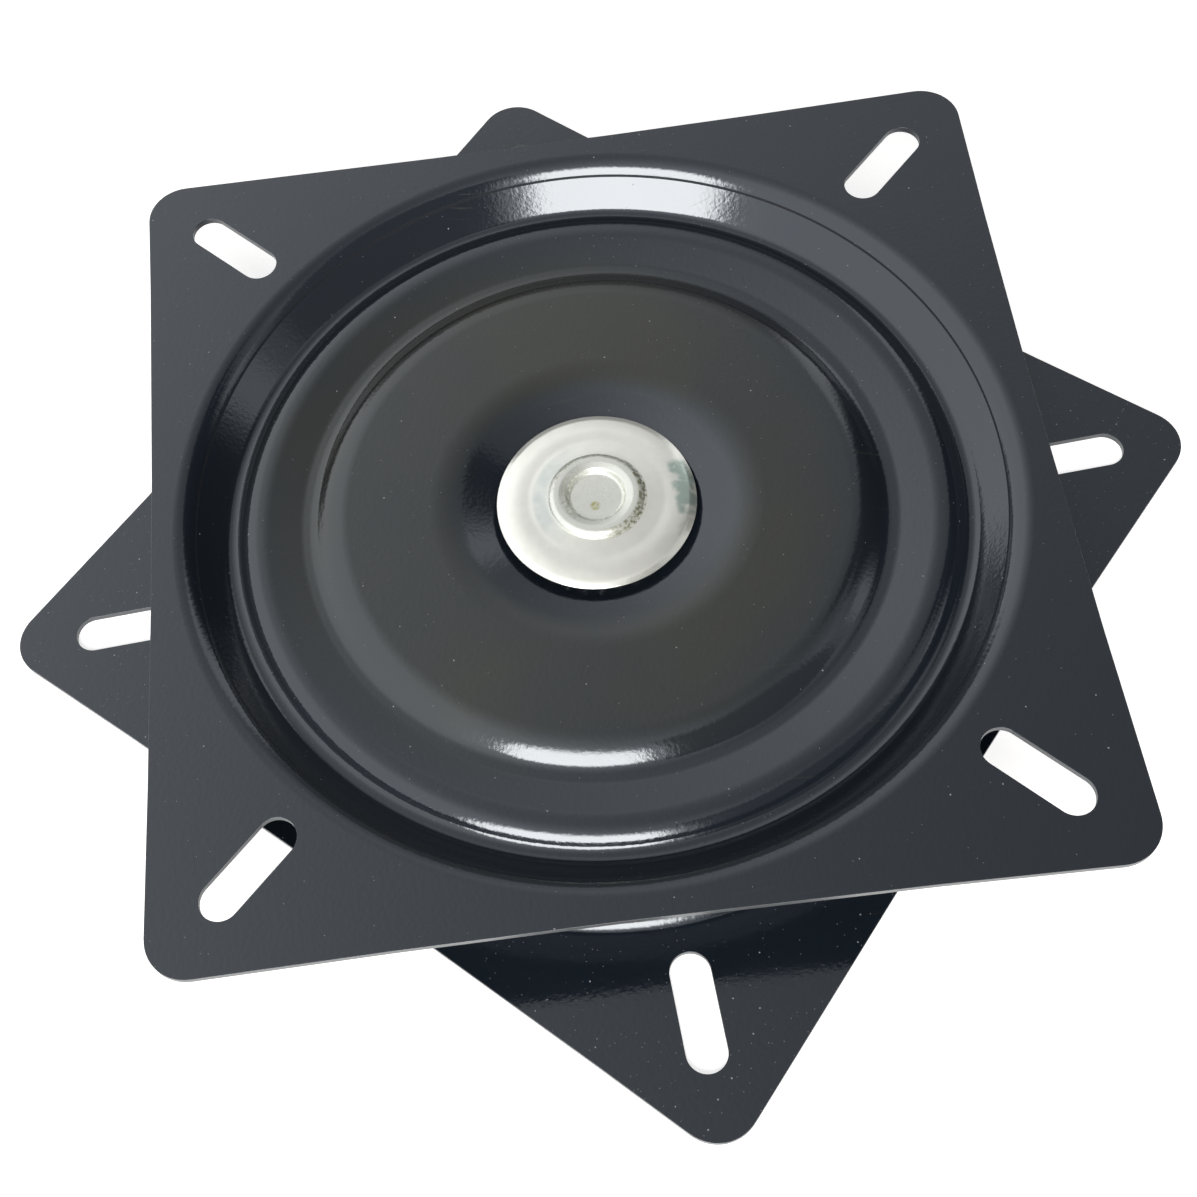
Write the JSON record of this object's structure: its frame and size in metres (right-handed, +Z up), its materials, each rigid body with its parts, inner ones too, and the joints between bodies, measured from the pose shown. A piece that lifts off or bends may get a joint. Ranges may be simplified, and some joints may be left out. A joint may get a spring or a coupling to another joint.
{
  "type": "lazy susan bearing",
  "caption": "Square swivel bearing: pressed black steel plates, dish to dish, turning on caged balls about a centre rivet with a bright cap washer; diagonal slots for fixing.",
  "frame": {"origin": "on the swivel axis, in the plane that the lower plate's rim rests on", "axes": "+Z up along the swivel axis; X and Y along the lower plate's diagonals"},
  "size_m": [0.2746, 0.2746, 0.0281],
  "materials": {
    "black_powder_coat": "semi-gloss",
    "bright_plate": "bright plated",
    "ball_steel": "polished",
    "cage_nylon": "moulded"
  },
  "bodies": {
    "base": {"bottom_plate": "black_powder_coat", "centre_rivet": "bright_plate", "cap_washer": "bright_plate"},
    "turntable": {"top_plate": "black_powder_coat"},
    "race_ring": {"ball_cage": "cage_nylon", "race_ball_01": "ball_steel", "race_ball_02": "ball_steel", "race_ball_03": "ball_steel", "race_ball_04": "ball_steel", "race_ball_05": "ball_steel", "race_ball_06": "ball_steel", "race_ball_07": "ball_steel", "race_ball_08": "ball_steel", "race_ball_09": "ball_steel", "race_ball_10": "ball_steel", "race_ball_11": "ball_steel", "race_ball_12": "ball_steel", "race_ball_13": "ball_steel", "race_ball_14": "ball_steel", "race_ball_15": "ball_steel", "race_ball_16": "ball_steel", "race_ball_17": "ball_steel", "race_ball_18": "ball_steel", "race_ball_19": "ball_steel", "race_ball_20": "ball_steel", "race_ball_21": "ball_steel", "race_ball_22": "ball_steel", "race_ball_23": "ball_steel", "race_ball_24": "ball_steel"},
    "cap_ring": {"cap_ball_01": "ball_steel", "cap_ball_02": "ball_steel", "cap_ball_03": "ball_steel", "cap_ball_04": "ball_steel", "cap_ball_05": "ball_steel", "cap_ball_06": "ball_steel", "cap_ball_07": "ball_steel", "cap_ball_08": "ball_steel", "cap_ball_09": "ball_steel", "cap_ball_10": "ball_steel", "cap_ball_11": "ball_steel", "cap_ball_12": "ball_steel", "cap_ball_13": "ball_steel", "cap_ball_14": "ball_steel", "cap_ball_15": "ball_steel", "cap_ball_16": "ball_steel", "cap_ball_17": "ball_steel", "cap_ball_18": "ball_steel", "cap_ball_19": "ball_steel", "cap_ball_20": "ball_steel", "cap_ball_21": "ball_steel", "cap_ball_22": "ball_steel", "cap_ball_23": "ball_steel", "cap_ball_24": "ball_steel", "cap_ball_25": "ball_steel", "cap_ball_26": "ball_steel"}
  },
  "joints": [
    {"name": "swivel", "type": "hinge", "parent": "base", "child": "turntable", "pos_m": [0, 0, 0.01405], "axis": [0, 0, 1], "continuous": true},
    {"name": "race_orbit", "type": "hinge", "parent": "base", "child": "race_ring", "pos_m": [0, 0, 0.01405], "axis": [0, 0, 1], "continuous": true},
    {"name": "cap_orbit", "type": "hinge", "parent": "base", "child": "cap_ring", "pos_m": [0, 0, 0.0185], "axis": [0, 0, 1], "continuous": true}
  ],
  "couplings": [
    {"joint": "race_orbit", "follows": "swivel", "ratio": 0.5},
    {"joint": "cap_orbit", "follows": "swivel", "ratio": 0.5}
  ]
}
